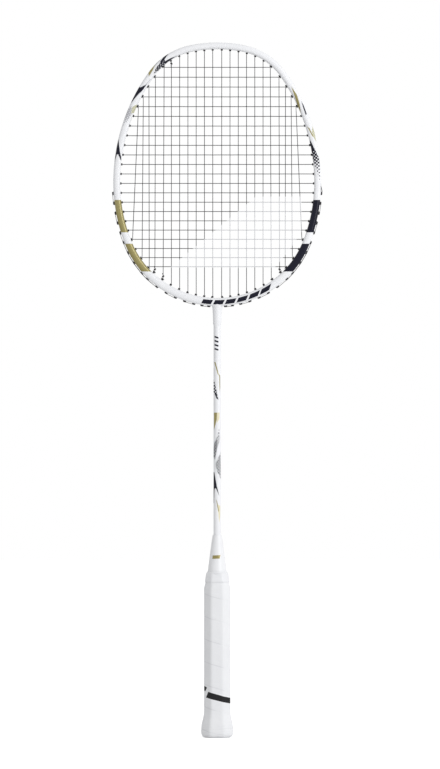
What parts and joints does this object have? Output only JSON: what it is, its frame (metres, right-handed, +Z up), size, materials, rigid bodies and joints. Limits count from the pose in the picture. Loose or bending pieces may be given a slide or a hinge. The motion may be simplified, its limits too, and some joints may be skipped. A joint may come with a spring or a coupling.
{
  "type": "badminton racket",
  "caption": "Strung badminton racket: oval tubular head with a woven string bed in plastic grommets, slender tube shaft, cone, and an octagonal wooden handle under a wrapped grip.",
  "frame": {"origin": "centre of the butt's end face", "axes": "+Z up the shaft to the tip of the head, +X across the head, +Y square to the strings"},
  "size_m": [0.2045, 0.0292, 0.675],
  "materials": {
    "frame_lacquer": "glossy white lacquer over a fibre composite tube, with gold, dark and dotted trim",
    "joint_aluminium": "bare turned and bent",
    "shaft_lacquer": "glossy white lacquer over a fibre composite tube, with gold and dark trim",
    "cone_plastic": "smooth moulded",
    "core_wood": "planed, unvarnished",
    "butt_plastic": "moulded",
    "grip_wrap": "smooth synthetic leather, wrapped in a spiral",
    "tape_film": "smooth adhesive film",
    "grommet_nylon": "moulded",
    "string_nylon": "braided multifilament with a clear coat"
  },
  "bodies": {
    "root": {"head_frame": "frame_lacquer", "t_joint": "joint_aluminium", "shaft": "shaft_lacquer", "cone_cap": "cone_plastic", "handle_core": "core_wood", "butt_cap": "butt_plastic", "base_grip": "grip_wrap", "finishing_tape": "tape_film", "crown_grommets_left": "grommet_nylon", "crown_grommets_right": "grommet_nylon", "shoulder_grommets_left": "grommet_nylon", "shoulder_grommets_right": "grommet_nylon", "side_grommets_left": "grommet_nylon", "side_grommets_right": "grommet_nylon", "flank_grommets_left": "grommet_nylon", "flank_grommets_right": "grommet_nylon", "throat_grommets_left": "grommet_nylon", "throat_grommets_right": "grommet_nylon", "main_string": "string_nylon", "cross_string": "string_nylon"}
  },
  "joints": []
}
